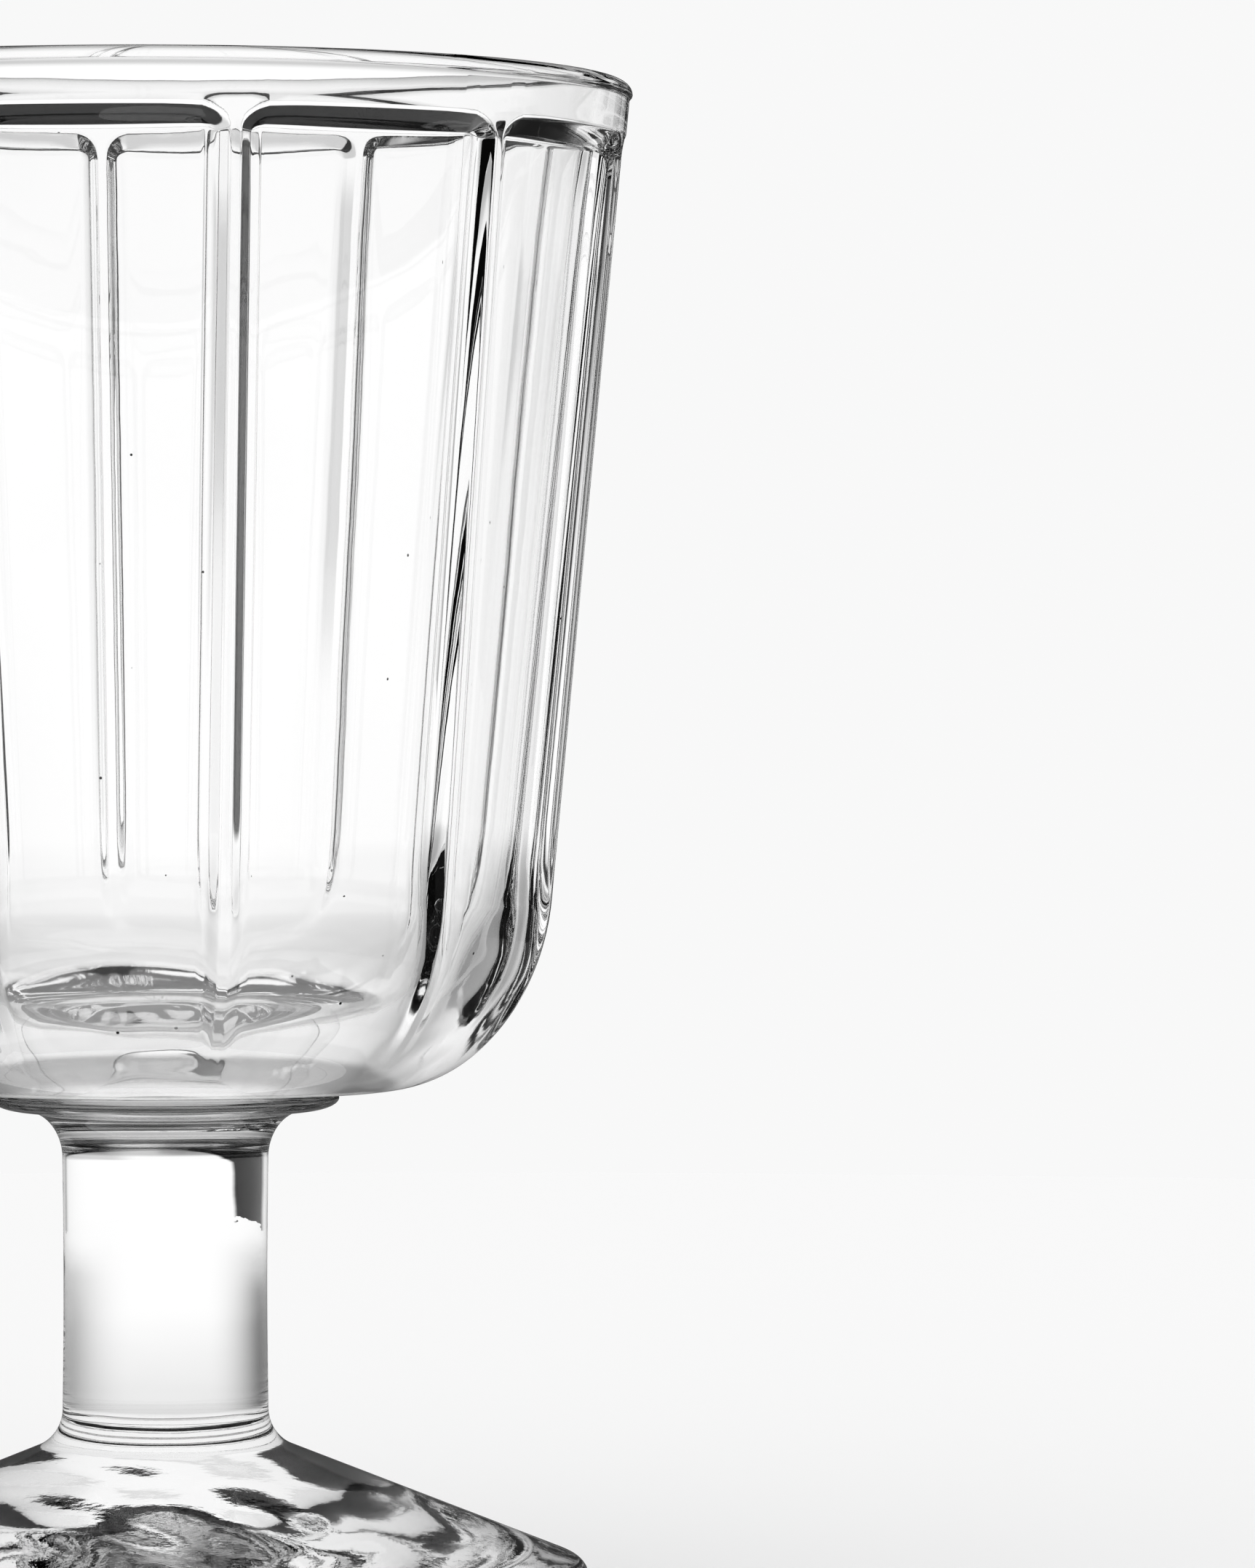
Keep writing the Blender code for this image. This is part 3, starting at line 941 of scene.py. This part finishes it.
# %% Shading of the table
RIGHT_FLAGS = (12.0, 58.0, 122.0, 168.0)
RIGHT_FLAGS_LIGHT = 0.48
LEFT_FLAGS = (15.0, 60.0, 120.0, 165.0)
LEFT_FLAGS_LIGHT = 0.15
FLAGS_START = (0.03, 0.09)
FLAGS_END = (0.26, 0.62)
FAR_LIGHT = (0.05, 0.36, 0.74, 1.06)
NEAR_LIGHT = (0.06, 0.12, 0.97, 0.0)


def facing_camera(tree, vector):
    """A vector turned so that +Y points straight away from the camera."""
    node = tree.nodes.new("ShaderNodeVectorRotate")
    node.rotation_type = "Z_AXIS"
    node.inputs["Angle"].default_value = -VIEW_TURN
    tree.links.new(vector, node.inputs["Vector"])
    return split(tree, node.outputs["Vector"])


def turned_right(tree, place):
    """Degrees to the right of straight behind the glass, from -180 to 180."""
    return calculate(tree, "DEGREES", calculate(tree, "ARCTAN2", place["X"], place["Y"]))


def painted_flag_shade(tree, angle, edges, light):
    """Light left by a painted flag shadow that starts, is full, begins to end and is gone at four angles.
    """
    darkening = ramp(tree, angle, edges[0], edges[1])
    ending = ramp(tree, angle, edges[2], edges[3], 1.0, 0.0)
    covered = calculate(tree, "MULTIPLY", darkening, ending)
    return calculate(tree, "MULTIPLY_ADD", covered, light - 1.0, 1.0)


spot = own_place(sheet)
spot_right = turned_right(sheet, facing_camera(sheet, spot))
spot_left = calculate(sheet, "MULTIPLY", spot_right, -1.0)
reach_node = sheet.nodes.new("ShaderNodeVectorMath")
reach_node.operation = "LENGTH"
sheet.links.new(spot, reach_node.inputs[0])
reach = reach_node.outputs["Value"]
# Painted light and painted flag shadows for the paper's glow.
plain_light = calculate(sheet, "MAXIMUM", ramp(sheet, reach, *FAR_LIGHT), ramp(sheet, reach, *NEAR_LIGHT))
right_shade = painted_flag_shade(sheet, spot_right, RIGHT_FLAGS, RIGHT_FLAGS_LIGHT)
left_shade = painted_flag_shade(sheet, spot_left, LEFT_FLAGS, LEFT_FLAGS_LIGHT)
flags_kept = calculate(
    sheet, "MULTIPLY", ramp(sheet, reach, *FLAGS_START), ramp(sheet, reach, *FLAGS_END, 1.0, 0.0)
)
flags_dark = calculate(sheet, "SUBTRACT", calculate(sheet, "MULTIPLY", right_shade, left_shade), 1.0)
flags_light = calculate(sheet, "MULTIPLY_ADD", flags_kept, flags_dark, 1.0)
table_light = calculate(sheet, "MULTIPLY", flags_light, plain_light)
print(f"flags over the table from {FLAGS_START[0]} to {FLAGS_END[1]} m")

# %% [markdown]
# The Light Path node tells the paper which ray has reached it. Rays through the glass see the shading,
# and rays that the glass only mirrors see a dim version of it, because a bright mirror image would wash
# the black lines out.

# %% Paper
TABLE_MIRRORED = 0.15


def less_mirrored(tree, path, kept):
    """1 for most rays, and a smaller share for a ray that the glass only mirrors."""
    not_passed = calculate(tree, "SUBTRACT", 1.0, path.outputs["Is Transmission Ray"])
    mirrored = calculate(tree, "MULTIPLY", path.outputs["Is Glossy Ray"], not_passed)
    return calculate(tree, "MULTIPLY_ADD", mirrored, kept - 1.0, 1.0)


path = sheet.nodes.new("ShaderNodeLightPath")
# The paper's glow is painted light, seen only by rays from the glass.
glow = sheet.nodes.new("ShaderNodeEmission")
glow_strength = calculate(sheet, "MULTIPLY", table_light, less_mirrored(sheet, path, TABLE_MIRRORED))
sheet.links.new(glow_strength, glow.inputs["Strength"])
by_glass = calculate(sheet, "MAXIMUM", path.outputs["Is Transmission Ray"], path.outputs["Is Glossy Ray"])
seen = sheet.nodes.new("ShaderNodeMixShader")
sheet.links.new(by_glass, seen.inputs["Fac"])
sheet.links.new(paper_shader.outputs["BSDF"], seen.inputs[1])
sheet.links.new(glow.outputs["Emission"], seen.inputs[2])
sheet.links.new(seen.outputs["Shader"], sheet.nodes["Material Output"].inputs["Surface"])
print("paper:", len(sheet.nodes), "nodes")

# %% [markdown]
# ## The studio
# Clear glass has no colour of its own: all that is seen is what it bends into view. A glass lit evenly
# from all round would vanish. So a white window stands behind the glass, with dark close by on its left
# and above it, and a grey stretch on its right. The ribs and arches bend the darkness into view as black
# lines and bands. The world shader draws this from the direction of a ray. How far a direction lies out
# towards the window's edge is given as a share for its sides and one for its top. A sum of powers joins
# them, which rounds the window's corners. Below the horizon the left edge slants, as the dark patch at
# the top of the stem does.

# %% Window and right wall
DARK = 0.005
RIGHT_WALL = (10.0, 24.0)
RIGHT_WALL_LIGHT = 0.68
RIGHT_WALL_FOOT = (-1.5, 0.0)
WINDOW_RIGHT = 64.0
WINDOW_LEFT = 22.0
WINDOW_TOP = 18.0
WINDOW_EDGE = (1.0, 1.18)
WINDOW_POWER = 1.5
WINDOW_SLANT = 2.7

world = bpy.data.worlds.new("studio")
bpy.context.scene.world = world
world.use_nodes = True
sky = world.node_tree
heading = facing_camera(sky, sky.nodes.new("ShaderNodeTexCoord").outputs["Generated"])
to_right = turned_right(sky, heading)
to_left = calculate(sky, "MULTIPLY", to_right, -1.0)
elevation = calculate(sky, "DEGREES", calculate(sky, "ARCSINE", heading["Z"]))

below_horizon = calculate(sky, "MINIMUM", elevation, 0.0)
slanted = calculate(sky, "MULTIPLY_ADD", below_horizon, WINDOW_SLANT, to_left)
left_share = calculate(sky, "DIVIDE", calculate(sky, "MAXIMUM", slanted, 0.0), WINDOW_LEFT)
right_share = calculate(sky, "DIVIDE", calculate(sky, "MAXIMUM", to_right, 0.0), WINDOW_RIGHT)
wide_share = calculate(sky, "ADD", left_share, right_share)
top_share = calculate(sky, "DIVIDE", calculate(sky, "MAXIMUM", elevation, 0.0), WINDOW_TOP)
wide_power = calculate(sky, "POWER", wide_share, WINDOW_POWER)
top_power = calculate(sky, "POWER", top_share, WINDOW_POWER)
share = calculate(sky, "POWER", calculate(sky, "ADD", wide_power, top_power), 1 / WINDOW_POWER)
window = ramp(sky, share, *WINDOW_EDGE, 1.0, DARK)
right_end = ramp(sky, elevation, *RIGHT_WALL_FOOT, 1.0, RIGHT_WALL_LIGHT)
walls = calculate(sky, "MULTIPLY", window, ramp(sky, to_right, *RIGHT_WALL, 1.0, right_end))
print(f"studio: a white window to {WINDOW_LEFT:.0f} degrees left and {WINDOW_TOP:.0f} degrees up")

# %% [markdown]
# Farther round, the side and front walls are lit again up to a low height, so that the sides of the glass
# and views from behind stay clear. A soft light fills the middle of the ceiling.

# %% Side, front and top light
FRONT_LEFT = (60.0, 72.0)
FRONT_RIGHT = (64.0, 84.0)
FRONT_TOP = (11.0, 17.0)
TOP_LIGHT = (52.0, 60.0)
WALL_LIGHT = 1.075

front_sides = calculate(sky, "MAXIMUM", ramp(sky, to_left, *FRONT_LEFT), ramp(sky, to_right, *FRONT_RIGHT))
front = calculate(sky, "MULTIPLY", front_sides, ramp(sky, elevation, *FRONT_TOP, 1.0, 0.0))
top_light = ramp(sky, elevation, *TOP_LIGHT)
brightest = calculate(sky, "MAXIMUM", calculate(sky, "MAXIMUM", walls, front), top_light)
studio = calculate(sky, "MULTIPLY", brightest, WALL_LIGHT)
print(f"front walls lit to {FRONT_TOP[0]:.0f} degrees up")

# %% [markdown]
# The camera itself and the table see a plain white world instead, through the Light Path node, so the
# background is even and the table is lit softly from all round.

# %% Who sees the studio
BACKDROP = 0.94
TABLE_LIGHT = 1.008
STUDIO_MIRRORED = 0.05
WHITE = (1.0, 1.0, 1.0, 1.0)

ray = sky.nodes.new("ShaderNodeLightPath")
for_glass = calculate(sky, "MULTIPLY", studio, less_mirrored(sky, ray, STUDIO_MIRRORED))
for_table = sky.nodes.new("ShaderNodeMix")
sky.links.new(ray.outputs["Is Diffuse Ray"], for_table.inputs["Factor"])
sky.links.new(for_glass, for_table.inputs["A"])
for_table.inputs["B"].default_value = TABLE_LIGHT
for_camera = sky.nodes.new("ShaderNodeMix")
sky.links.new(ray.outputs["Is Camera Ray"], for_camera.inputs["Factor"])
sky.links.new(for_table.outputs["Result"], for_camera.inputs["A"])
for_camera.inputs["B"].default_value = BACKDROP
background = sky.nodes["Background"]
background.inputs["Color"].default_value = WHITE
sky.links.new(for_camera.outputs["Result"], background.inputs["Strength"])
print("world:", len(sky.nodes), "nodes")

# %% [markdown]
# ## How long a ray may live
# Light that is caught in the thick corner of the bowl can bounce for very long, and comes out as a
# glitter of random dots. Real glass takes a little of it on the way, so such places look dark. A limit on
# the bounces does the same. Rays through a weld don't count as bounces, and they have a limit of their
# own.

# %% Render settings
BOUNCES = 10
WELD_CROSSINGS = 32

scene = bpy.context.scene
scene.view_settings.view_transform = "Standard"
scene.cycles.max_bounces = BOUNCES
scene.cycles.transmission_bounces = BOUNCES
scene.cycles.glossy_bounces = BOUNCES
scene.cycles.transparent_max_bounces = WELD_CROSSINGS
print(f"rays end after {BOUNCES} bounces")
